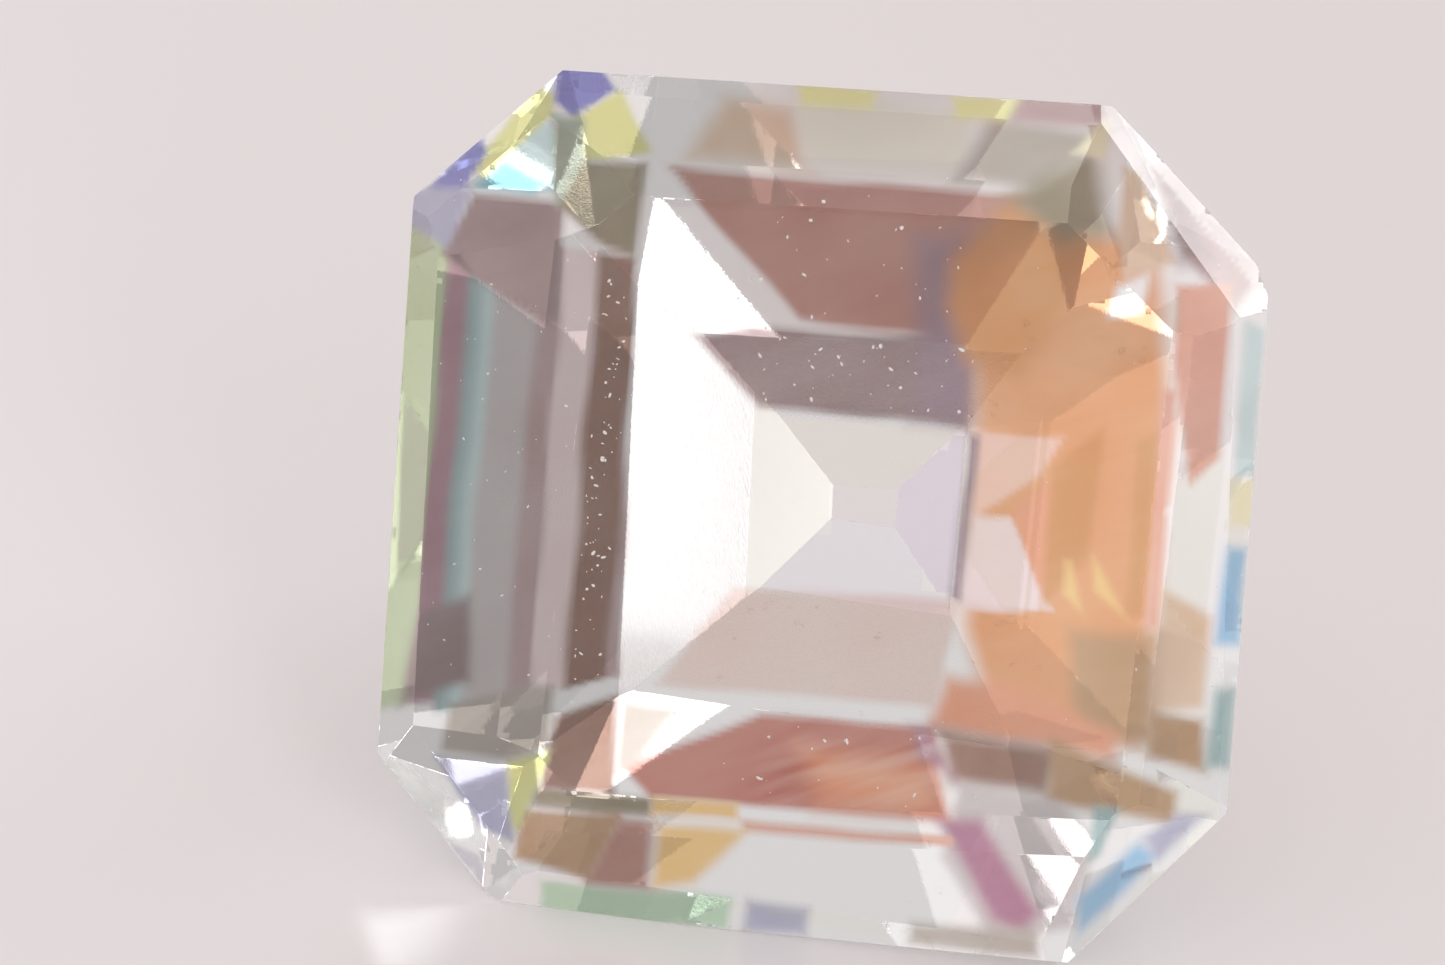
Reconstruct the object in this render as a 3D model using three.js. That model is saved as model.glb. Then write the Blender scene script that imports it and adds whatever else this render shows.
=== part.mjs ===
import * as THREE from "three";

// A loose rainbow moonstone: one clear stone, cut square in steps, with clipped corners.
// Millimetres, +Z up. It is cut upright first, with its table up and its point down.
// Then it is laid over on its south side, on the broad upper step that it rests on.
// Upright, east is +X, north is +Y, and the axis rises through the point.
// A bearing is the way that a facet faces, in degrees from east towards north.
// A reach is a distance from the axis, and a slope is a facet's angle from level.

// ---- Driving dimensions: millimetres and degrees ----

const tableHeight = 0.85; // above the girdle's middle
const girdleThickness = 0.1;
const girdleLean = { bearing: 255, slope: 2 }; // the girdle rises a little this way, the table is level
const pavilionDepth = 4.2; // from the girdle's middle down to the flat on the point

// Each side has three pavilion steps below the girdle and three crown steps above it.
// Upper, middle and point are pavilion steps; outer, main and star are crown steps.
// The pavilion and the crown are each turned a little from the girdle, as a hand-cut stone's are.
const sides = {
  east: {
    girdle: { bearing: 0, reach: 3.6 },
    pavilion: {
      bearing: -1, upperSlope: 54, middleReach: 1.6, middleSlope: 53, pointReach: 0.9, pointSlope: 36,
    },
    crown: { bearing: -2, outerSlope: 55, mainReach: 3.4, mainSlope: 40, starReach: 2.85, tableReach: 2.65 },
  },
  north: {
    girdle: { bearing: 91, reach: 3.9 },
    pavilion: {
      bearing: 91, upperSlope: 52, middleReach: 1.55, middleSlope: 40, pointReach: 0.8, pointSlope: 32,
    },
    crown: { bearing: 91, outerSlope: 45, mainReach: 3.7, mainSlope: 40, starReach: 3.1, tableReach: 2.75 },
  },
  west: {
    girdle: { bearing: 181, reach: 4.4 },
    pavilion: {
      bearing: 182, upperSlope: 51, middleReach: 2.25, middleSlope: 40, pointReach: 1.1, pointSlope: 36,
    },
    crown: { bearing: 178, outerSlope: 55, mainReach: 4.1, mainSlope: 15, starReach: 3.15, tableReach: 2.75 },
  },
  south: {
    girdle: { bearing: 269, reach: 4.05 },
    pavilion: {
      bearing: 266, upperSlope: 55, middleReach: 2.05, middleSlope: 40, pointReach: 0.9, pointSlope: 32,
    },
    crown: { bearing: 272, outerSlope: 45, mainReach: 3.8, mainSlope: 25, starReach: 3.15, tableReach: 2.8 },
  },
};

// Each clipped corner has one pavilion facet, and an outer and a main crown facet.
const cornerPavilionSlope = 57;
const corners = {
  northEast: { bearing: 49, reach: 4.3, outerSlope: 40, outerRun: 0.4, tableBearing: 45, tableReach: 3.5 },
  northWest: { bearing: 135, reach: 4.95, outerSlope: 55, outerRun: 0.25, tableBearing: 135, tableReach: 3.6 },
  southWest: { bearing: 223, reach: 5, outerSlope: 40, outerRun: 0.4, tableBearing: 225, tableReach: 3.8 },
  southEast: { bearing: 318, reach: 4.4, outerSlope: 45, outerRun: 0.3, tableBearing: 315, tableReach: 3.7 },
};

const stoneColour = 0xe9dcd8;
const stoneRoughness = 0.04;

const blankSize = 20; // a square wider than the stone, which each facet is trimmed from
const weldDistance = 0.006; // corners nearer than this are one corner

// ---- Facets ----

function rise(run, slope) {
  return run * Math.tan(THREE.MathUtils.degToRad(slope));
}

function slopeOf(height, run) {
  return THREE.MathUtils.radToDeg(Math.atan2(height, run));
}

// How high the middle of the girdle is at one side or corner
function girdleMiddle({ bearing, reach }) {
  const alongRise = reach * Math.cos(THREE.MathUtils.degToRad(bearing - girdleLean.bearing));
  return rise(alongRise, girdleLean.slope);
}

// The plane of a facet that faces outwards, and up or down, through a point at a reach and height
function facetPlane(bearing, slope, reach, height, facing) {
  const turn = THREE.MathUtils.degToRad(bearing);
  const lean = THREE.MathUtils.degToRad(slope);
  const outward = new THREE.Vector3(Math.cos(turn), Math.sin(turn), 0);
  const upOrDown = facing === "down" ? -1 : 1;
  const normal = outward.clone().multiplyScalar(Math.sin(lean)).setZ(upOrDown * Math.cos(lean));
  const onFacet = outward.clone().multiplyScalar(reach).setZ(height);
  return new THREE.Plane().setFromNormalAndCoplanarPoint(normal, onFacet);
}

// The upright band of the girdle, and three pavilion steps worked down from it towards the point
function pavilionPlanes({ girdle, pavilion }) {
  const girdleBottom = girdleMiddle(girdle) - girdleThickness / 2;
  const middleTop = girdleBottom - rise(girdle.reach - pavilion.middleReach, pavilion.upperSlope);
  const pointTop = middleTop - rise(pavilion.middleReach - pavilion.pointReach, pavilion.middleSlope);
  return [
    facetPlane(girdle.bearing, 90, girdle.reach, 0, "up"),
    facetPlane(pavilion.bearing, pavilion.upperSlope, girdle.reach, girdleBottom, "down"),
    facetPlane(pavilion.bearing, pavilion.middleSlope, pavilion.middleReach, middleTop, "down"),
    facetPlane(pavilion.bearing, pavilion.pointSlope, pavilion.pointReach, pointTop, "down"),
  ];
}

// Three crown steps, worked up from the girdle; the star step closes to the table's edge
function crownPlanes({ girdle, crown }) {
  const girdleTop = girdleMiddle(girdle) + girdleThickness / 2;
  const outerTop = girdleTop + rise(girdle.reach - crown.mainReach, crown.outerSlope);
  const mainTop = outerTop + rise(crown.mainReach - crown.starReach, crown.mainSlope);
  const starSlope = slopeOf(tableHeight - mainTop, crown.starReach - crown.tableReach);
  return [
    facetPlane(girdle.bearing, crown.outerSlope, girdle.reach, girdleTop, "up"),
    facetPlane(crown.bearing, crown.mainSlope, crown.mainReach, outerTop, "up"),
    facetPlane(crown.bearing, starSlope, crown.tableReach, tableHeight, "up"),
  ];
}

function cornerPlanes(corner) {
  const { bearing, reach, outerSlope, outerRun, tableBearing, tableReach } = corner;
  const girdleTop = girdleMiddle(corner) + girdleThickness / 2;
  const girdleBottom = girdleTop - girdleThickness;
  const outerTop = girdleTop + rise(outerRun, outerSlope);
  const mainSlope = slopeOf(tableHeight - outerTop, reach - outerRun - tableReach);
  return [
    facetPlane(bearing, cornerPavilionSlope, reach, girdleBottom, "down"),
    facetPlane(bearing, 90, reach, 0, "up"),
    facetPlane(bearing, outerSlope, reach, girdleTop, "up"),
    facetPlane(tableBearing, mainSlope, tableReach, tableHeight, "up"),
  ];
}

const tablePlane = facetPlane(0, 0, 0, tableHeight, "up");
const pointFlatPlane = facetPlane(0, 0, 0, -pavilionDepth, "down");
const sidePlanes = Object.values(sides).flatMap((side) => [...pavilionPlanes(side), ...crownPlanes(side)]);
const allPlanes = [tablePlane, pointFlatPlane, ...sidePlanes, ...Object.values(corners).flatMap(cornerPlanes)];

// ---- Solid ----

// The part of an outline that lies behind a plane
function trimOutline(outline, plane) {
  const kept = [];
  outline.forEach((here, index) => {
    const next = outline[(index + 1) % outline.length];
    const hereGap = plane.distanceToPoint(here);
    const nextGap = plane.distanceToPoint(next);
    if (hereGap <= 0) {
      kept.push(here);
    }
    if (hereGap * nextGap < 0) {
      kept.push(here.clone().lerp(next, hereGap / (hereGap - nextGap)));
    }
  });
  return kept;
}

// One facet's outline, anticlockwise from outside: a wide square trimmed by every other plane
function facetOutline(plane) {
  const middle = plane.coplanarPoint(new THREE.Vector3());
  const turn = new THREE.Quaternion().setFromUnitVectors(new THREE.Vector3(0, 0, 1), plane.normal);
  const square = [[-1, -1], [1, -1], [1, 1], [-1, 1]].map(([across, along]) =>
    new THREE.Vector3(across, along, 0).multiplyScalar(blankSize / 2).applyQuaternion(turn).add(middle),
  );
  return allPlanes.filter((other) => other !== plane).reduce(trimOutline, square);
}

// The same corner, where one is already near enough, or a new one
function weld(corner, known) {
  const near = known.find((other) => other.distanceTo(corner) < weldDistance);
  if (near) {
    return near;
  }
  known.push(corner);
  return corner;
}

function cutStone() {
  const known = [];
  const positions = [];
  for (const plane of allPlanes) {
    const welded = facetOutline(plane).map((corner) => weld(corner, known));
    const outline = welded.filter((corner, index) => corner !== welded[(index + 1) % welded.length]);
    for (let index = 1; index < outline.length - 1; index += 1) {
      for (const corner of [outline[0], outline[index], outline[index + 1]]) {
        positions.push(corner.x, corner.y, corner.z);
      }
    }
  }
  const geometry = new THREE.BufferGeometry();
  geometry.setAttribute("position", new THREE.Float32BufferAttribute(positions, 3));
  geometry.computeVertexNormals();
  return geometry;
}

// ---- The stone, laid on its south upper facet, with its box centred over the origin ----

const restPlane = pavilionPlanes(sides.south)[1];
const moonstone = new THREE.Mesh(
  cutStone(),
  new THREE.MeshStandardMaterial({ color: stoneColour, roughness: stoneRoughness, metalness: 0 }),
);
moonstone.name = "moonstone";
moonstone.quaternion.setFromUnitVectors(restPlane.normal, new THREE.Vector3(0, 0, -1));
moonstone.updateMatrixWorld(true);

const box = new THREE.Box3().setFromObject(moonstone, true);
const boxMiddle = box.getCenter(new THREE.Vector3());
moonstone.position.set(-boxMiddle.x, -boxMiddle.y, -box.min.z);

const part = new THREE.Group();
part.add(moonstone);

export default part;
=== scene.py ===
import math
import random

import bmesh
import bpy
import numpy as np
from mathutils import Matrix, Vector, noise
from mathutils.bvhtree import BVHTree


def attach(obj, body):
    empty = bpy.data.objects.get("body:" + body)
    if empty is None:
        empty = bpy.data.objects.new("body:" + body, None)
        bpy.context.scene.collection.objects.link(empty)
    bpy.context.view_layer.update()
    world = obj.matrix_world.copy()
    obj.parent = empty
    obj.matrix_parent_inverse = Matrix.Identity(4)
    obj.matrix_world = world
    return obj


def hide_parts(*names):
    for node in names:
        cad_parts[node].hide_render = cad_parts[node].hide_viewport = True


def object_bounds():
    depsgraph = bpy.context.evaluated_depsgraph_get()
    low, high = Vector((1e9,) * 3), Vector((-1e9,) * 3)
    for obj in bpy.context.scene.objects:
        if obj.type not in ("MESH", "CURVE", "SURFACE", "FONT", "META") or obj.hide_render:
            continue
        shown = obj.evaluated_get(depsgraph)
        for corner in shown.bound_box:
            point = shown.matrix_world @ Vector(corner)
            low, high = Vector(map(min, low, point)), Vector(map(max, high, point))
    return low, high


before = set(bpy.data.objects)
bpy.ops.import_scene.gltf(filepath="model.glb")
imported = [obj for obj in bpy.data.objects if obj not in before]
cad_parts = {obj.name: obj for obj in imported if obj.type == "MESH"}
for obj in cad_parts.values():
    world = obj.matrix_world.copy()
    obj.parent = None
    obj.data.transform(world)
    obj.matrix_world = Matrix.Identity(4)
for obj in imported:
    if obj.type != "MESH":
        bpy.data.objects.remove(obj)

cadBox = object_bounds()
print("frame loaded")

mm = 0.001
scene = bpy.context.scene

# How the stone was cut and laid, so that every flash and scratch is placed by the stone's own axes
stoneCut = {
    "restBearing": 266.0,  # degrees from east towards north
    "restSlope": 55.0,
    "tableHeight": 0.85,
    "eastBearing": 0.0,
    "eastReach": 3.6,
    "northBearing": 91.0,
    "northReach": 3.9,
}


def bearingVector(bearing, slope=90.0, side=1.0):
    turn = math.radians(bearing)
    lean = math.radians(slope)
    flat = Vector((math.cos(turn), math.sin(turn), 0.0)) * math.sin(lean)
    return flat + Vector((0.0, 0.0, side * math.cos(lean)))


def findStoneAxes(node):
    restNormal = bearingVector(stoneCut["restBearing"], stoneCut["restSlope"], -1.0)
    lay = restNormal.rotation_difference(Vector((0.0, 0.0, -1.0))).to_matrix()
    upright = [lay.transposed() @ vertex.co for vertex in node.data.vertices]
    east = bearingVector(stoneCut["eastBearing"])
    north = bearingVector(stoneCut["northBearing"])
    eastGap = max(point.dot(east) for point in upright) - stoneCut["eastReach"] * mm
    northGap = max(point.dot(north) for point in upright) - stoneCut["northReach"] * mm
    topGap = max(point.z for point in upright) - stoneCut["tableHeight"] * mm
    solve = Matrix(((east.x, east.y), (north.x, north.y))).inverted()
    across = solve @ Vector((eastGap, northGap))
    middle = lay @ Vector((across.x, across.y, topGap))
    return Matrix.Translation(middle) @ lay.to_4x4()


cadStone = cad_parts["moonstone"]
stoneAxes = findStoneAxes(cadStone)
stoneTurn = stoneAxes.to_3x3()
print("stone axes found")

# Camera, square on to the table
cameraView = {
    "frameWidth": 1445.0,  # pixels
    "frameHeight": 965.0,
    "pointPixel": (865.0, 507.0),  # where the stone's axis meets the frame
    "millimetresPerPixel": 8.0 / 855.0,
    "roll": 4.7,  # degrees, the stone's east side turned down
    "distance": 112.0,
    "sensorWidth": 36.0,
    "clip": (0.001, 10.0),  # metres
}


def makeCamera():
    scale = cameraView["millimetresPerPixel"]
    roll = math.radians(cameraView["roll"])
    right = Vector((math.cos(roll), math.sin(roll), 0.0))
    up = Vector((-math.sin(roll), math.cos(roll), 0.0))
    pixelX, pixelY = cameraView["pointPixel"]
    offRight = (cameraView["frameWidth"] / 2.0 - pixelX) * scale
    offUp = (pixelY - cameraView["frameHeight"] / 2.0) * scale
    target = (right * offRight + up * offUp) * mm
    place = Vector((0.0, 0.0, cameraView["distance"])) * mm
    back = (place - target).normalized()
    side = up.cross(back).normalized()
    turn = Matrix((side, back.cross(side), back)).transposed()
    data = bpy.data.cameras.new("camera")
    data.sensor_width = cameraView["sensorWidth"]
    frameMillimetres = cameraView["frameWidth"] * scale
    data.lens = cameraView["sensorWidth"] * cameraView["distance"] / frameMillimetres
    data.clip_start, data.clip_end = cameraView["clip"]
    camera = bpy.data.objects.new("camera", data)
    scene.collection.objects.link(camera)
    camera.matrix_world = stoneAxes @ Matrix.Translation(place) @ turn.to_4x4()
    scene.camera = camera


makeCamera()
print("camera placed")

# The cut edges, in millimetres
edgeRounding = {
    "width": 0.012,
    "segments": 2,
    "merge": 0.001,  # corners nearer than this become one
    "flatWithin": 0.2,  # degrees: neighbouring faces flatter than this make one facet
}


def makeStone():
    mesh = cadStone.data.copy()
    piece = bpy.data.objects.new("cut_stone", mesh)
    scene.collection.objects.link(piece)
    shape = bmesh.new()
    shape.from_mesh(mesh)
    bmesh.ops.remove_doubles(shape, verts=shape.verts, dist=edgeRounding["merge"] * mm)
    flat = math.radians(edgeRounding["flatWithin"])
    bmesh.ops.dissolve_limit(shape, angle_limit=flat, verts=shape.verts, edges=shape.edges)
    for face in shape.faces:
        face.smooth = False
    bmesh.ops.bevel(
        shape, geom=shape.edges[:], offset=edgeRounding["width"] * mm,
        segments=edgeRounding["segments"], profile=0.5, affect="EDGES", clamp_overlap=True,
    )
    bmesh.ops.recalc_face_normals(shape, faces=shape.faces)
    sliceStone(shape)
    shape.normal_update()
    wearEdges(shape)
    shape.to_mesh(mesh)
    shape.free()
    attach(piece, "root")
    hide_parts("moonstone")
    return piece


# The way each pavilion facet faces (bearing and slope, counted below level) and its tint.
# Every tint is what light keeps on crossing the surface once.
facetTints = {
    "point_north": (91.0, -32.0, (1.0, 1.0, 0.95)),
    "point_west": (182.0, -36.0, (0.9, 0.9, 0.85)),
    "point_south": (266.0, -32.0, (0.95, 0.95, 1.0)),
    "point_east": (-1.0, -36.0, (0.9, 0.85, 0.95)),
}
facetWithin = 0.6  # degrees: a face that turns further from a facet's own way isn't part of it
crownBase = -0.1  # millimetres above the middle of the girdle

# The colours that the stone flashes
tints = {
    "clear": (1.0, 1.0, 1.0),
    "pearl": (0.95, 0.95, 0.85),
    "cream": (1.0, 0.95, 0.7),
    "lemon": (1.0, 1.0, 0.5),
    "lime": (0.85, 0.85, 0.4),
    "celery": (0.65, 0.75, 0.5),
    "mint": (0.6, 0.8, 0.6),
    "sage": (0.5, 0.55, 0.45),
    "ice": (0.7, 0.85, 0.85),
    "teal": (0.45, 0.6, 0.6),
    "cyan": (0.3, 0.6, 0.7),
    "blue": (0.4, 0.65, 0.9),
    "indigo": (0.3, 0.3, 0.65),
    "lavender": (0.55, 0.55, 0.7),
    "violet": (0.4, 0.3, 0.35),
    "plum": (0.55, 0.35, 0.4),
    "magenta": (0.5, 0.25, 0.35),
    "smoke": (0.6, 0.45, 0.45),
    "dusk": (0.4, 0.3, 0.3),
    "blush": (0.95, 0.8, 0.8),
    "pink": (0.95, 0.65, 0.55),
    "beige": (0.9, 0.75, 0.7),
    "haze": (0.7, 0.65, 0.65),
    "taupe": (0.55, 0.5, 0.45),
    "peach": (0.85, 0.65, 0.5),
    "rose": (0.85, 0.5, 0.4),
    "coral": (0.9, 0.45, 0.3),
    "apricot": (0.85, 0.45, 0.25),
    "orange": (0.75, 0.4, 0.2),
    "amber": (0.95, 0.65, 0.3),
    "honey": (0.6, 0.4, 0.25),
    "mauve": (0.6, 0.35, 0.3),
    "russet": (0.65, 0.3, 0.25),
    "umber": (0.4, 0.25, 0.2),
    "olive": (0.4, 0.35, 0.25),
}

# Where the colours flash under the crown, with painted shade in the two dark northern zones. Each has its
# tint, the softness of its edge and its corners (east, north) from the stone's middle, all in millimetres.
# Later ones lie over earlier ones.
flashesAndShade = {
    # partly the stone's mauve flash, partly painted shade: these two zones paint the dark of the stone's
    # shadow on the floor, seen through the north pavilion
    "north_step_shade": ("mauve", 0.1, [(-2.1, 3.0), (1.3, 3.0), (0.7, 1.6), (-0.75, 1.7)]),
    "north_window_shade": ("dusk", 0.1, [(-1.15, 1.6), (0.9, 1.6), (0.9, 0.8), (-1.05, 0.85), (-1.7, 1.45)]),
    "north_heart": ("violet", 0.4, [(0.3, 2.5), (1.0, 2.6), (1.0, 0.85), (0.4, 0.85)]),
    "north_outer_west": ("peach", 0.3, [(-1.9, 3.1), (-1.6, 3.7), (-1.0, 3.65), (-0.75, 3.1)]),
    "north_outer": ("pearl", 0.2, [(-1.0, 3.8), (0.7, 3.75), (0.7, 3.1), (-0.8, 3.1)]),
    "north_outer_east": ("taupe", 0.25, [(0.9, 3.75), (1.95, 3.65), (1.4, 3.05), (0.6, 3.1)]),
    "north_rim_east": ("smoke", 0.15, [(1.05, 4.0), (2.0, 3.95), (1.9, 3.7), (1.0, 3.7)]),
    "north_rim_glint": ("lemon", 0.15, [(-0.95, 3.9), (-0.2, 3.9), (-0.25, 3.7), (-0.9, 3.7)]),
    "north_rim_spark": ("lemon", 0.15, [(0.5, 3.9), (1.1, 3.9), (1.0, 3.7), (0.55, 3.7)]),
    "east_side": (
        "apricot", 0.3,
        [
            (0.95, 2.2), (1.2, 2.95), (2.5, 2.6), (2.8, 1.0),
            (2.7, -2.0), (1.4, -1.9), (1.0, -1.0), (0.95, 0.8),
        ],
    ),
    "east_swell": (
        "orange", 0.3, [(0.6, 2.35), (1.1, 2.9), (1.9, 2.6), (1.4, 1.3), (0.85, 1.4), (0.6, 1.9)],
    ),
    "east_corner": ("olive", 0.3, [(1.1, 2.95), (1.85, 3.5), (2.1, 2.7), (1.6, 2.6)]),
    "corner_honey": ("peach", 0.1, [(2.15, 3.35), (2.3, 3.3), (2.7, 2.5), (2.2, 2.3)]),
    "corner_rim": ("smoke", 0.15, [(2.1, 4.0), (2.35, 4.0), (3.6, 2.6), (3.3, 2.1), (2.85, 2.5)]),
    "corner_dusk": ("dusk", 0.3, [(2.45, 3.3), (2.75, 3.2), (3.05, 2.6), (2.75, 2.5)]),
    "corner_glint": ("cream", 0.1, [(1.65, 3.45), (1.95, 3.8), (2.0, 3.75), (1.95, 3.4)]),
    "east_rose": ("rose", 0.1, [(2.6, 2.3), (3.25, 2.35), (3.25, 0.75), (2.85, 0.3), (2.75, 1.6)]),
    "east_spark": ("clear", 0.1, [(2.15, 2.25), (2.45, 2.4), (2.4, 2.05), (2.1, 1.95)]),
    "east_window": ("pink", 0.07, [(1.0, 0.8), (2.05, 0.8), (1.6, 0.45), (1.35, 0.0), (1.0, 0.0)]),
    "east_window_low": ("blush", 0.07, [(1.0, 0.0), (1.35, 0.0), (1.8, -0.8), (0.95, -0.85)]),
    "east_blade": ("coral", 0.07, [(1.35, 0.05), (1.7, 0.4), (1.7, -0.7), (1.6, -0.5)]),
    "east_stripe": ("orange", 0.1, [(1.7, 0.5), (2.15, 0.9), (2.1, -0.3), (1.7, -0.8)]),
    "east_stripe_outer": ("orange", 0.1, [(2.45, 0.8), (2.65, 0.9), (2.65, -0.8), (2.5, -0.8)]),
    "east_glow": ("amber", 0.1, [(1.9, -0.35), (1.95, -0.35), (2.1, -0.8), (1.9, -0.65)]),
    "east_glow_outer": ("amber", 0.1, [(2.15, -0.3), (2.2, -0.35), (2.5, -0.8), (2.2, -0.6)]),
    "east_seam": ("rose", 0.07, [(2.65, 1.3), (2.8, 1.3), (2.8, -0.9), (2.7, -0.9)]),
    "east_clear": ("clear", 0.07, [(2.8, 0.2), (3.35, 0.8), (3.4, -0.55), (3.05, -0.35)]),
    "east_low": ("peach", 0.15, [(2.8, -0.55), (3.3, -0.75), (3.3, -1.6), (2.8, -1.7)]),
    "east_honey": ("honey", 0.25, [(2.0, -1.0), (2.8, -0.95), (2.85, -2.0), (2.1, -1.9)]),
    "east_honey_outer": ("honey", 0.15, [(2.8, -1.7), (3.3, -1.7), (3.35, -2.2), (2.8, -2.1)]),
    "east_shadow": ("violet", 0.1, [(0.9, 0.75), (1.0, 0.75), (0.95, -0.8), (0.85, -0.8)]),
    "rim_ice": ("ice", 0.1, [(3.4, 2.0), (3.6, 1.95), (3.6, 0.6), (3.4, 0.6)]),
    "rim_cream": ("cream", 0.1, [(3.35, 0.55), (3.6, 0.55), (3.6, 0.1), (3.4, 0.1)]),
    "rim_blue": ("blue", 0.15, [(3.4, -0.1), (3.6, -0.1), (3.6, -1.0), (3.35, -1.0)]),
    "rim_teal": ("teal", 0.15, [(3.4, -1.4), (3.6, -1.4), (3.6, -2.15), (3.35, -2.15)]),
    "south_coral": ("coral", 0.25, [(0.9, -1.5), (1.5, -1.5), (2.5, -1.9), (2.5, -2.15), (0.75, -2.0)]),
    "south_umber": ("umber", 0.25, [(0.85, -2.0), (2.0, -2.1), (1.9, -2.55), (1.0, -2.5)]),
    "south_honey": ("honey", 0.15, [(1.9, -2.0), (3.1, -2.4), (3.1, -2.7), (1.9, -2.6)]),
    "south_haze": (
        "haze", 0.15,
        [(1.1, -2.5), (2.05, -2.6), (2.4, -2.9), (2.3, -3.75), (1.5, -3.95), (0.95, -3.2)],
    ),
    "south_step": ("beige", 0.1, [(-1.15, -0.85), (0.95, -0.8), (0.8, -1.8), (-1.8, -1.8)]),
    "south_middle": ("russet", 0.1, [(-0.8, -2.0), (0.8, -2.0), (1.0, -2.85), (-1.75, -2.85), (-2.05, -2.6)]),
    "south_ember": ("coral", 0.4, [(-0.4, -2.3), (0.8, -2.35), (0.95, -2.8), (-0.2, -2.8)]),
    "south_plum": ("plum", 0.15, [(0.0, -2.0), (0.75, -2.0), (1.3, -2.8), (0.9, -2.9), (0.7, -2.3)]),
    "south_magenta": ("magenta", 0.2, [(0.9, -2.85), (1.3, -2.8), (1.95, -3.65), (1.8, -3.85), (1.5, -3.75)]),
    "south_pale": ("taupe", 0.1, [(-2.1, -2.0), (-0.9, -2.0), (-1.9, -2.55), (-2.1, -2.85)]),
    "seam_amber": ("amber", 0.1, [(-1.75, -2.85), (-0.95, -2.85), (-0.95, -3.0), (-1.75, -3.0)]),
    "seam_rose": ("rose", 0.07, [(-0.9, -3.0), (1.05, -3.0), (1.05, -3.1), (-0.9, -3.1)]),
    "seam_olive": ("olive", 0.07, [(-2.85, -2.85), (-1.75, -2.85), (-1.75, -3.0), (-2.85, -3.0)]),
    "south_amber": ("amber", 0.15, [(-1.65, -3.1), (-0.85, -3.1), (-1.3, -3.65), (-1.65, -3.7)]),
    "south_mauve": ("mauve", 0.15, [(-2.05, -3.05), (-1.7, -3.05), (-1.7, -3.7), (-2.35, -3.7)]),
    "south_peach": ("honey", 0.1, [(-2.95, -3.05), (-2.0, -3.0), (-2.3, -3.65), (-3.0, -3.5)]),
    "rim_mint": ("mint", 0.1, [(-2.75, -3.7), (-0.95, -3.75), (-0.95, -4.05), (-2.75, -4.0)]),
    "rim_lavender": ("lavender", 0.15, [(-0.8, -3.75), (-0.2, -3.8), (-0.2, -4.05), (-0.8, -4.05)]),
    "rim_taupe": ("taupe", 0.15, [(0.75, -3.85), (1.95, -3.8), (1.95, -4.05), (0.75, -4.05)]),
    "corner_blue": ("blue", 0.15, [(2.3, -3.45), (2.8, -2.9), (3.0, -3.0), (2.35, -3.8)]),
    "corner_teal": ("teal", 0.1, [(2.35, -2.6), (2.6, -2.6), (2.45, -3.05), (2.35, -3.1)]),
    "corner_lavender": ("lavender", 0.15, [(2.85, -2.85), (3.15, -2.6), (3.4, -2.6), (3.0, -3.05)]),
    "west_umber": ("umber", 0.1, [(-2.7, -2.2), (-2.15, -1.95), (-2.1, -2.85), (-2.8, -2.85)]),
    "west_lime": ("lime", 0.07, [(-3.1, -2.65), (-2.7, -2.5), (-2.95, -3.2), (-3.05, -3.25)]),
    "west_lavender": ("lavender", 0.07, [(-3.8, -2.65), (-3.1, -2.7), (-3.0, -3.35), (-3.3, -3.25)]),
    "west_grey": (
        "taupe", 0.1,
        [(-3.75, -2.6), (-3.7, -2.15), (-3.0, -1.9), (-2.75, -1.9), (-2.75, -2.5), (-3.1, -2.65)],
    ),
    "west_clear": ("clear", 0.1, [(-4.45, -2.25), (-3.85, -2.15), (-3.8, -2.6), (-4.45, -2.75)]),
    "west_dusk": ("dusk", 0.15, [(-4.05, -1.3), (-3.6, -1.1), (-3.55, -1.9), (-4.15, -2.2)]),
    "west_dusk_north": ("dusk", 0.1, [(-3.9, 2.6), (-3.0, 2.6), (-3.0, 1.5), (-3.15, 1.45), (-4.15, 2.05)]),
    "corner_ice": ("ice", 0.1, [(-3.95, 2.65), (-3.55, 3.15), (-3.2, 3.4), (-3.0, 3.3), (-3.0, 2.65)]),
    "corner_cyan": ("cyan", 0.1, [(-3.9, 2.65), (-3.65, 2.95), (-3.2, 2.75), (-3.3, 2.65)]),
    "corner_lime": ("lime", 0.07, [(-3.95, 2.85), (-3.4, 3.7), (-3.2, 3.6), (-3.2, 3.4), (-3.8, 2.75)]),
    "corner_sliver": ("indigo", 0.07, [(-4.35, 2.6), (-3.9, 3.2), (-3.8, 3.0), (-4.0, 2.6)]),
    "corner_pale": ("lavender", 0.1, [(-4.5, 2.6), (-3.9, 2.65), (-4.1, 2.1), (-4.5, 2.3)]),
    "corner_indigo": ("indigo", 0.07, [(-3.2, 3.9), (-2.8, 3.9), (-2.65, 3.7), (-3.0, 3.4), (-3.2, 3.55)]),
    "corner_lime_inner": ("lime", 0.07, [(-3.0, 3.4), (-2.6, 3.7), (-2.25, 3.1), (-2.9, 3.0)]),
    "corner_sage": ("sage", 0.1, [(-3.2, 3.4), (-2.9, 3.4), (-2.85, 2.55), (-3.1, 2.55)]),
    "corner_umber": ("olive", 0.1, [(-2.9, 3.0), (-2.3, 3.0), (-2.3, 2.1), (-2.6, 2.2), (-3.05, 2.55)]),
}

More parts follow.
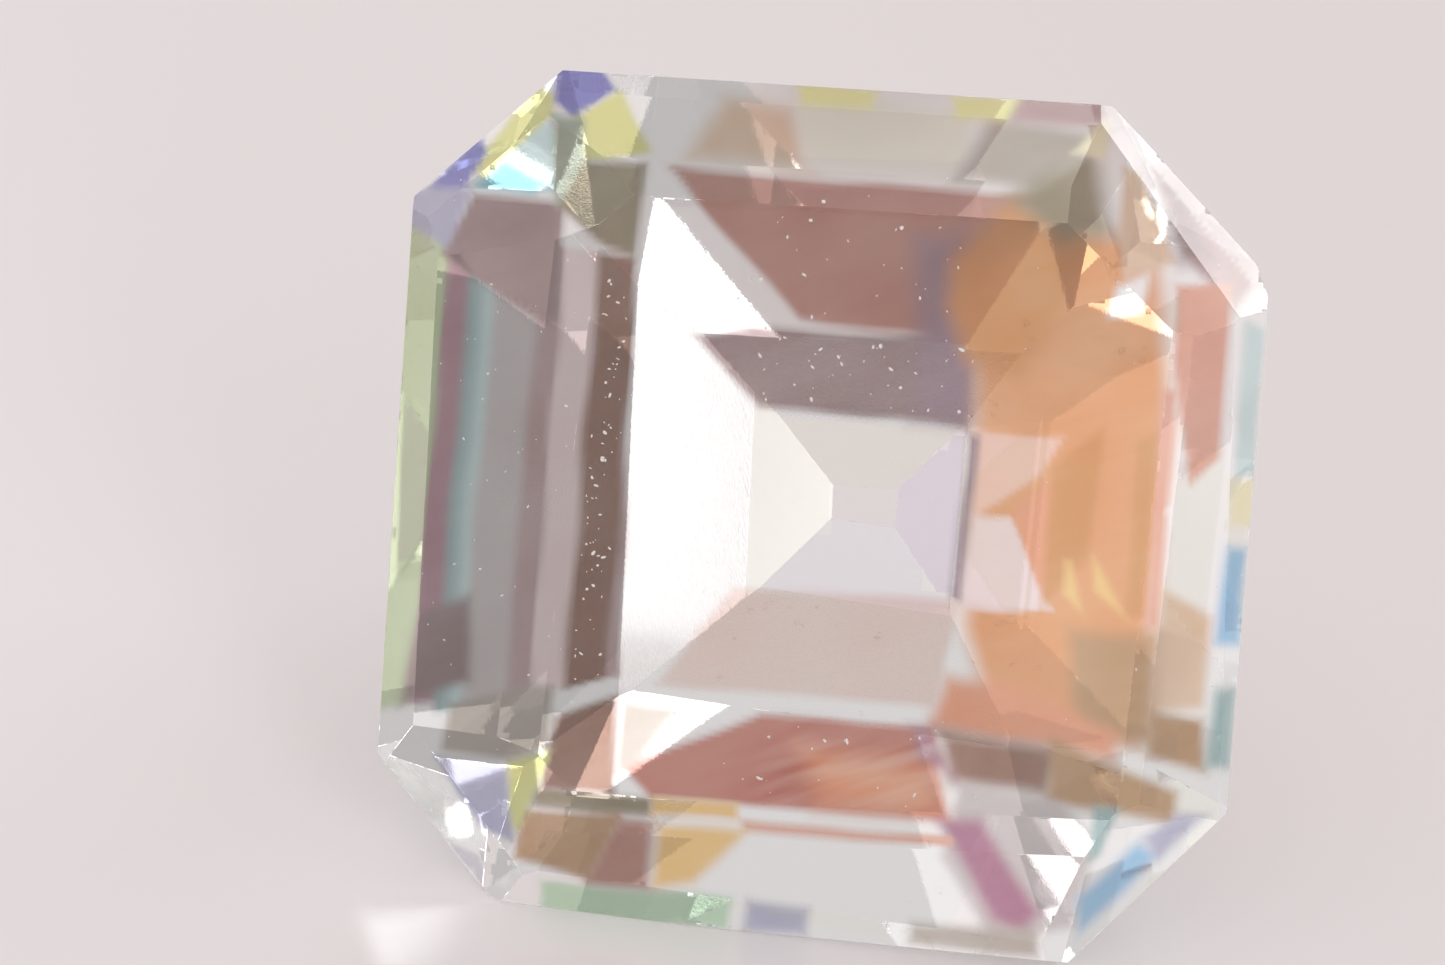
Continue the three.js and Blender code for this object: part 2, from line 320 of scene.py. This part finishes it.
# The bands of colour that run along the west side: each tint and where it sits, east of the middle. The umber
# band is painted shade: the dark that the west pavilion facet shows.
westBands = {
    "soft": 0.07,
    "corners": [(-4.65, 2.4), (-2.3, 2.1), (-2.15, -1.8), (-2.7, -1.95), (-4.65, -2.6)],
    "stops": [
        (-4.45, "celery"), (-4.1, "celery"), (-4.05, "plum"), (-3.9, "plum"),
        (-3.8, "teal"), (-3.65, "ice"), (-3.55, "haze"), (-3.25, "haze"),
        (-3.15, "smoke"), (-3.0, "smoke"), (-2.95, "blush"), (-2.7, "blush"),
        # painted shade: the umber band stands in for the dark seen in the west pavilion facet
        (-2.6, "umber"), (-2.3, "umber"), (-2.25, "smoke"), (-2.15, "smoke"),
    ],
}
# How unevenly a tint lies: noise per millimetre, where in the noise it starts, and its share
clouds = {"scale": 1.3, "offset": 11.0, "amount": 0.16}
wander = {"scale": 1.1, "offset": 5.0, "amount": 0.05}  # how far an edge strays, in millimetres
# Where the streaks show strongly, and how strongly they show elsewhere
streakPlaces = {
    "soft": 0.4,
    "elsewhere": 0.15,
    "corners": [(-0.6, -2.0), (0.9, -2.0), (1.0, -2.9), (-0.9, -2.9)],
}
# The mesh cells that hold the tints, below and on the crown, how far they reach from the middle, and
# how near to a cut a corner may lie, all in millimetres
flashCells = {"coarse": 0.15, "fine": 0.05, "reach": 4.9, "snap": 0.0005}
paleBelow = {"soft": 0.35, "share": 0.6}  # below the girdle the flashes blur into each other and pale


def windingOf(corners):
    return sum(
        x0 * y1 - x1 * y0 for (x0, y0), (x1, y1) in zip(corners, corners[1:] + corners[:1])
    )


def insideShare(points, corners, soft):
    side = 1.0 if windingOf(corners) > 0.0 else -1.0
    depth = np.full(len(points), np.inf)
    for (x0, y0), (x1, y1) in zip(corners, corners[1:] + corners[:1]):
        length = math.hypot(x1 - x0, y1 - y0)
        across = (x1 - x0) * (points[:, 1] - y0) - (y1 - y0) * (points[:, 0] - x0)
        depth = np.minimum(depth, side * across / length)
    share = np.clip(depth / soft + 0.5, 0.0, 1.0)
    return share * share * (3.0 - 2.0 * share)


def noiseAt(points, scale, offset):
    shift = Vector((offset, -offset, 2.0 * offset))
    return np.array([noise.noise(Vector(point) * scale + shift) for point in points])


def tintAcross(points, extraSoft):
    places = [place for place, name in westBands["stops"]]
    bandTints = np.array([tints[name] for place, name in westBands["stops"]])
    bands = np.stack([np.interp(points[:, 0], places, bandTints[:, part]) for part in range(3)], axis=1)
    share = insideShare(points, westBands["corners"], westBands["soft"] + extraSoft)[:, None]
    found = 1.0 - share + bands * share
    for name, soft, corners in flashesAndShade.values():
        share = insideShare(points, corners, soft + extraSoft)[:, None]
        found = found * (1.0 - share) + np.array(tints[name]) * share
    return found


def sliceStone(shape):
    toStone = stoneAxes.inverted()
    for face in shape.faces:
        face.material_index = int((toStone @ face.calc_center_median()).z > crownBase * mm)
    for spacing, onlyCrown in ((flashCells["coarse"], False), (flashCells["fine"], True)):
        count = int(flashCells["reach"] / spacing)
        for axis in (Vector((1.0, 0.0, 0.0)), Vector((0.0, 1.0, 0.0))):
            for step in range(-count, count + 1):
                faces = [face for face in shape.faces if face.material_index or not onlyCrown]
                bmesh.ops.bisect_plane(
                    shape, geom=shape.verts[:] + shape.edges[:] + faces, dist=flashCells["snap"] * mm,
                    plane_co=stoneAxes @ (axis * step * spacing * mm), plane_no=stoneTurn @ axis,
                )
    for face in shape.faces:
        face.material_index = 0


def tintStone(mesh):
    toStone = stoneAxes.inverted()
    turnBack = toStone.to_3x3()
    directions = [
        (bearingVector(bearing, abs(slope), math.copysign(1.0, slope)), tint)
        for bearing, slope, tint in facetTints.values()
    ]
    points = np.array([list((toStone @ vertex.co) / mm) for vertex in mesh.vertices])
    strayed = points.copy()
    for part in (0, 1):
        strayed[:, part] += wander["amount"] * noiseAt(points, wander["scale"], wander["offset"] * part)
    pale = 1.0 - paleBelow["share"] * (1.0 - tintAcross(strayed, paleBelow["soft"]))
    found = np.where(points[:, 2:] > crownBase, tintAcross(strayed, 0.0), pale)
    uneven = clouds["amount"] * noiseAt(points, clouds["scale"], clouds["offset"])
    found = found ** (1.0 + uneven)[:, None]
    streaks = mesh.attributes.new("streak_share", "FLOAT", "POINT")
    share = insideShare(points, streakPlaces["corners"], streakPlaces["soft"])
    streaks.data.foreach_set("value", np.maximum(share, streakPlaces["elsewhere"]))
    place = mesh.attributes.new("place", "FLOAT_VECTOR", "POINT")
    place.data.foreach_set("vector", points.ravel())
    outer = mesh.attributes.new("outer_tint", "FLOAT_COLOR", "POINT")
    outer.data.foreach_set("color", np.hstack([found ** 2, np.ones((len(points), 1))]).ravel())
    inner = mesh.attributes.new("inner_tint", "FLOAT_COLOR", "FACE")
    for face in mesh.polygons:
        normal = turnBack @ face.normal
        nearest, facetTint = max(directions, key=lambda entry: normal.dot(entry[0]))
        if normal.dot(nearest) < math.cos(math.radians(facetWithin)):
            facetTint = tints["clear"]
        inner.data[face.index].color = (*[part * part for part in facetTint], 1.0)


# Tiny nicks along the edges: how deep in millimetres, what share of the edge points has one,
# and the stretches (east, north to east, north) that are worn most
wear = {
    "seed": 3,
    "depth": (0.001, 0.006),
    "share": 0.08,
    "wornShare": 0.7,
    "wornReach": 0.12,  # millimetres either side of a stretch
    "edgeTurn": 0.9995,  # a point is on an edge where its faces and its own way agree less than this
    "worn": {
        "north_west_mitre": ((-0.65, 1.7), (-2.1, 2.75)),
        "north_east_upper": ((2.45, 2.3), (3.05, 2.45)),
        "north_east_lower": ((2.7, 1.6), (3.3, 2.1)),
        "south_east_long": ((1.55, -1.6), (2.15, -2.3)),
        "south_east_short": ((2.2, -1.05), (2.5, -1.6)),
        "south_west_edge": ((-2.8, -2.9), (-2.05, -2.9)),
    },
}


def nearStretch(points, start, end):
    start = np.array(start)
    along = np.array(end) - start
    share = np.clip(((points[:, :2] - start) @ along) / (along @ along), 0.0, 1.0)
    gap = points[:, :2] - start - share[:, None] * along
    return np.hypot(gap[:, 0], gap[:, 1]) < wear["wornReach"]


def wearEdges(shape):
    toStone = stoneAxes.inverted()
    chance = random.Random(wear["seed"])
    edgePoints = [
        vertex for vertex in shape.verts
        if min(face.normal.dot(vertex.normal) for face in vertex.link_faces) < wear["edgeTurn"]
    ]
    points = np.array([list((toStone @ vertex.co) / mm) for vertex in edgePoints])
    worn = np.any([nearStretch(points, start, end) for start, end in wear["worn"].values()], axis=0)
    moves = []
    for vertex, isWorn in zip(edgePoints, worn):
        share = wear["wornShare"] if isWorn else wear["share"]
        if chance.random() < share:
            moves.append((vertex, vertex.normal * chance.uniform(*wear["depth"]) * mm))
    for vertex, move in moves:
        vertex.co -= move


# The stone's refraction and fine grain: sheen streaks across the flashes, faint smears and hairline
# scratches. Each is the scale of its noise along (east, north, up) per millimetre, and how much it does.
stoneGrain = {
    "refraction": 1.56,
    "streaks": ((9.0, 1.2, 9.0), 0.2),
    "streakTurn": 68.0,  # degrees from north towards west
    "smears": ((1.6, 2.4, 1.6), (0.0, 0.035)),
    "scratches": ((45.0, 1.5, 45.0), 0.012),
    "scratchTurn": -24.0,
    "scratchDepth": 0.01,  # millimetres
}
noiseSpan = (0.3, 0.7)  # where nearly all of a noise lies


def addNoise(tree, place, scale, turn=0.0, detail=0.0):
    across = tree.nodes.new("ShaderNodeMapping")
    across.inputs["Rotation"].default_value = (0.0, 0.0, math.radians(turn))
    link = tree.links.new
    link(place, across.inputs["Vector"])
    stretch = tree.nodes.new("ShaderNodeVectorMath")
    stretch.operation = "MULTIPLY"
    stretch.inputs[1].default_value = scale
    link(across.outputs["Vector"], stretch.inputs[0])
    mottle = tree.nodes.new("ShaderNodeTexNoise")
    mottle.inputs["Scale"].default_value = 1.0
    mottle.inputs["Detail"].default_value = detail
    link(stretch.outputs["Vector"], mottle.inputs["Vector"])
    return mottle.outputs["Fac"]


def addRange(tree, value, low, high):
    spread = tree.nodes.new("ShaderNodeMapRange")
    spread.inputs["From Min"].default_value, spread.inputs["From Max"].default_value = noiseSpan
    spread.inputs["To Min"].default_value = low
    spread.inputs["To Max"].default_value = high
    tree.links.new(value, spread.inputs["Value"])
    return spread.outputs["Result"]


def makeStoneMaterial():
    material = bpy.data.materials.new("moonstone")
    material.use_nodes = True
    tree = material.node_tree
    link = tree.links.new
    shader = tree.nodes["Principled BSDF"]
    shader.inputs["IOR"].default_value = stoneGrain["refraction"]
    shader.inputs["Transmission Weight"].default_value = 1.0
    readers = {}
    for name in ("place", "outer_tint", "inner_tint", "streak_share"):
        readers[name] = tree.nodes.new("ShaderNodeAttribute")
        readers[name].attribute_name = name
    place = readers["place"].outputs["Vector"]
    # Streaks bend the tint, most where it is strong and not at all where it is clear
    scale, amount = stoneGrain["streaks"]
    mottle = addNoise(tree, place, scale, stoneGrain["streakTurn"], 1.0)
    streaks = addRange(tree, mottle, 1.0 - amount, 1.0 + amount)
    shown = tree.nodes.new("ShaderNodeMix")
    shown.inputs["A"].default_value = 1.0
    link(readers["streak_share"].outputs["Fac"], shown.inputs["Factor"])
    link(streaks, shown.inputs["B"])
    grained = tree.nodes.new("ShaderNodeGamma")
    link(readers["outer_tint"].outputs["Color"], grained.inputs["Color"])
    link(shown.outputs["Result"], grained.inputs["Gamma"])
    # Light takes up the flash once, on the side it comes out of, and the facet tint inside; the flashes also
    # carry the painted shade of the west band and the north zones
    side = tree.nodes.new("ShaderNodeNewGeometry")
    tint = tree.nodes.new("ShaderNodeMix")
    tint.data_type = "RGBA"
    link(side.outputs["Backfacing"], tint.inputs["Factor"])
    link(grained.outputs["Color"], tint.inputs["A"])
    link(readers["inner_tint"].outputs["Color"], tint.inputs["B"])
    link(tint.outputs["Result"], shader.inputs["Base Color"])
    scale, (low, high) = stoneGrain["smears"]
    link(addRange(tree, addNoise(tree, place, scale), low, high), shader.inputs["Roughness"])
    scale, amount = stoneGrain["scratches"]
    bump = tree.nodes.new("ShaderNodeBump")
    bump.inputs["Strength"].default_value = amount
    bump.inputs["Distance"].default_value = stoneGrain["scratchDepth"] * mm
    link(addNoise(tree, place, scale, stoneGrain["scratchTurn"], 1.0), bump.inputs["Height"])
    link(bump.outputs["Normal"], shader.inputs["Normal"])
    return material


cutStone = makeStone()
tintStone(cutStone.data)
cutStone.data.materials.clear()
cutStone.data.materials.append(makeStoneMaterial())
print("stone cut and tinted")

# Dust on the crown. Each patch has its middle (east, north) and its half sizes in millimetres, how many
# grains fall on it, and their least and greatest radius.
dust = {
    "seed": 11,
    "sink": 0.45,  # how much of a grain is below the surface
    "fineness": 2.5,  # the greater, the more of the grains are fine
    "stretch": ((0.9, 1.9), (0.6, 1.0), (0.5, 0.8)),  # of a grain's length, breadth and height
    "lumps": (0.75, 1.1),
    "fallFrom": 3.0,  # millimetres up
    "steepest": 0.1,  # grains slide off a facet whose way points up less than this
    "margin": 3.0,  # radii kept free to the sides of the stone's own box
    "shades": ((0.78, 0.75, 0.71, 1.0), (0.98, 0.97, 0.95, 1.0)),
    "shadeScale": 4000.0,  # per metre: several shades to a grain
    "roughness": (0.6, 1.0),
    "patches": {
        "west_edge": ((-2.45, 0.0), (0.14, 1.95), 70, (0.008, 0.022)),
        "north": ((-0.1, 1.25), (1.0, 0.38), 42, (0.008, 0.024)),
        "far_north": ((-0.3, 2.3), (1.1, 0.6), 26, (0.008, 0.026)),
        "west": ((-3.4, 0.4), (0.7, 2.0), 34, (0.006, 0.018)),
        "south": ((-0.2, -2.4), (1.0, 0.35), 16, (0.008, 0.020)),
        "all_over": ((-0.4, -0.2), (3.8, 3.6), 60, (0.005, 0.014)),
    },
}


def addGrain(shape, place, normal, radius, chance):
    grain = bmesh.ops.create_icosphere(shape, subdivisions=1, radius=radius * mm)
    turn = Matrix.Rotation(chance.uniform(0.0, 2.0 * math.pi), 3, normal)
    stretch = [chance.uniform(*span) for span in dust["stretch"]]
    lie = turn @ normal.to_track_quat("Z", "Y").to_matrix()
    middle = place + normal * radius * mm * stretch[2] * (1.0 - 2.0 * dust["sink"])
    for vertex in grain["verts"]:
        rough = chance.uniform(*dust["lumps"])
        spot = Vector([part * wide * rough for part, wide in zip(vertex.co, stretch)])
        vertex.co = middle + lie @ spot


def makeDustMaterial():
    material = bpy.data.materials.new("dust")
    material.use_nodes = True
    tree = material.node_tree
    shader = tree.nodes["Principled BSDF"]
    shade = tree.nodes.new("ShaderNodeTexNoise")
    shade.inputs["Scale"].default_value = dust["shadeScale"]
    pale = tree.nodes.new("ShaderNodeMix")
    pale.data_type = "RGBA"
    pale.inputs["A"].default_value, pale.inputs["B"].default_value = dust["shades"]
    tree.links.new(shade.outputs["Fac"], pale.inputs["Factor"])
    tree.links.new(pale.outputs["Result"], shader.inputs["Base Color"])
    rough = tree.nodes.new("ShaderNodeMapRange")
    rough.inputs["To Min"].default_value, rough.inputs["To Max"].default_value = dust["roughness"]
    tree.links.new(shade.outputs["Fac"], rough.inputs["Value"])
    tree.links.new(rough.outputs["Result"], shader.inputs["Roughness"])
    return material


def makeDust():
    chance = random.Random(dust["seed"])
    surface = BVHTree.FromPolygons(
        [stoneAxes.inverted() @ vertex.co for vertex in cadStone.data.vertices],
        [list(face.vertices) for face in cadStone.data.polygons],
    )
    shape = bmesh.new()
    for (east, north), (halfEast, halfNorth), count, (least, greatest) in dust["patches"].values():
        for step in range(count):
            across = chance.uniform(-halfEast, halfEast)
            along = chance.uniform(-halfNorth, halfNorth)
            start = Vector((east + across, north + along, dust["fallFrom"]))
            radius = least + (greatest - least) * chance.random() ** dust["fineness"]
            place, normal = surface.ray_cast(start * mm, Vector((0.0, 0.0, -1.0)))[:2]
            if place is None or normal.z < dust["steepest"]:
                continue
            place = stoneAxes @ place
            room = min(min(place - cadBox[0]), min(cadBox[1] - place))
            if room > dust["margin"] * radius * mm:
                addGrain(shape, place, stoneTurn @ normal, radius, chance)
    mesh = bpy.data.meshes.new("dust")
    shape.to_mesh(mesh)
    shape.free()
    mesh.materials.append(makeDustMaterial())
    piece = bpy.data.objects.new("dust", mesh)
    scene.collection.objects.link(piece)
    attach(piece, "root")


makeDust()
print("dust scattered")

floorLook = {
    "size": 600.0,
    "gap": 0.01,  # the air under the stone, so that the facet it rests on still reflects
    "colours": ((0.70, 0.66, 0.67, 1.0), (0.58, 0.53, 0.53, 1.0)),  # south-west and north-east of the stone: painted shade, the floor darker towards the north-east
    "paintedShadeTowards": (0.8, 0.6, 0.0),
    "fallOff": 22.0,  # millimetres from the one to the other
    "roughness": 0.22,
    "refraction": 1.8,
    "glow": (1.0, 0.94, 0.93, 1.0),  # painted light: the pale sheet glows a little, which lifts the stone's shadow on it
    "glowStrength": 0.22,
}


def makeFloor():
    half = floorLook["size"] * mm / 2.0
    low = -floorLook["gap"] * mm
    mesh = bpy.data.meshes.new("floor")
    corners = [(-half, -half, low), (half, -half, low), (half, half, low), (-half, half, low)]
    mesh.from_pydata(corners, [], [(0, 1, 2, 3)])
    piece = bpy.data.objects.new("floor", mesh)
    scene.collection.objects.link(piece)
    material = bpy.data.materials.new("floor")
    material.use_nodes = True
    shader = material.node_tree.nodes["Principled BSDF"]
    nodes = material.node_tree.nodes
    link = material.node_tree.links.new
    # painted shade: the floor's colour darkens towards the north-east
    place = nodes.new("ShaderNodeTexCoord")
    along = nodes.new("ShaderNodeVectorMath")
    along.operation = "DOT_PRODUCT"
    along.inputs[1].default_value = floorLook["paintedShadeTowards"]
    link(place.outputs["Object"], along.inputs[0])
    share = nodes.new("ShaderNodeMapRange")
    share.inputs["From Min"].default_value = -floorLook["fallOff"] * mm / 2.0
    share.inputs["From Max"].default_value = floorLook["fallOff"] * mm / 2.0
    link(along.outputs["Value"], share.inputs["Value"])
    blend = nodes.new("ShaderNodeMix")
    blend.data_type = "RGBA"
    blend.inputs["A"].default_value, blend.inputs["B"].default_value = floorLook["colours"]
    link(share.outputs["Result"], blend.inputs["Factor"])
    link(blend.outputs["Result"], shader.inputs["Base Color"])
    shader.inputs["Roughness"].default_value = floorLook["roughness"]
    shader.inputs["IOR"].default_value = floorLook["refraction"]
    # painted light: the floor glows, lifting the shadow under the stone
    shader.inputs["Emission Color"].default_value = floorLook["glow"]
    shader.inputs["Emission Strength"].default_value = floorLook["glowStrength"]
    mesh.materials.append(material)


makeFloor()

studio = {
    "bounces": 24,
    "clearBounces": 16,  # through and off the stone
    "worldColour": (1.0, 0.97, 0.96, 1.0),
    "darkSide": (1.0, 0.0, 0.0),
    "darkStrength": 0.42,
    "brightStrength": 0.95,
    # name: degrees from east towards north, degrees up, millimetres away, width, height, roll, brightness
    "softLights": {
        "key": (-60.0, 29.0, 300.0, 110.0, 320.0, -20.0, 1.3),
        "back": (36.0, 25.0, 300.0, 170.0, 110.0, 0.0, 4.2),
    },
}


def makeWorld():
    world = bpy.data.worlds.new("studio")
    world.use_nodes = True
    nodes = world.node_tree.nodes
    link = world.node_tree.links.new
    background = nodes["Background"]
    background.inputs["Color"].default_value = studio["worldColour"]
    direction = nodes.new("ShaderNodeTexCoord")
    side = nodes.new("ShaderNodeVectorMath")
    side.operation = "DOT_PRODUCT"
    side.inputs[1].default_value = studio["darkSide"]
    strength = nodes.new("ShaderNodeMapRange")
    strength.inputs["From Min"].default_value = -1.0
    strength.inputs["To Min"].default_value = studio["brightStrength"]
    strength.inputs["To Max"].default_value = studio["darkStrength"]
    link(direction.outputs["Generated"], side.inputs[0])
    link(side.outputs["Value"], strength.inputs["Value"])
    link(strength.outputs["Result"], background.inputs["Strength"])
    scene.world = world


def makeLights():
    for name, (bearing, rise, distance, width, height, roll, brightness) in studio["softLights"].items():
        data = bpy.data.lights.new(name, "AREA")
        data.shape = "RECTANGLE"
        data.size = width * mm
        data.size_y = height * mm
        data.energy = brightness * math.pi * data.size * data.size_y
        lamp = bpy.data.objects.new(name, data)
        scene.collection.objects.link(lamp)
        towards = bearingVector(bearing, 90.0 - rise)
        lamp.location = towards * distance * mm
        facing = towards.to_track_quat("Z", "Y").to_matrix() @ Matrix.Rotation(math.radians(roll), 3, "Z")
        lamp.rotation_euler = facing.to_euler()


makeWorld()
makeLights()
scene.view_settings.view_transform = "Standard"
scene.cycles.max_bounces = studio["bounces"]
scene.cycles.glossy_bounces = studio["clearBounces"]
scene.cycles.transmission_bounces = studio["clearBounces"]
print("floor and lights placed")
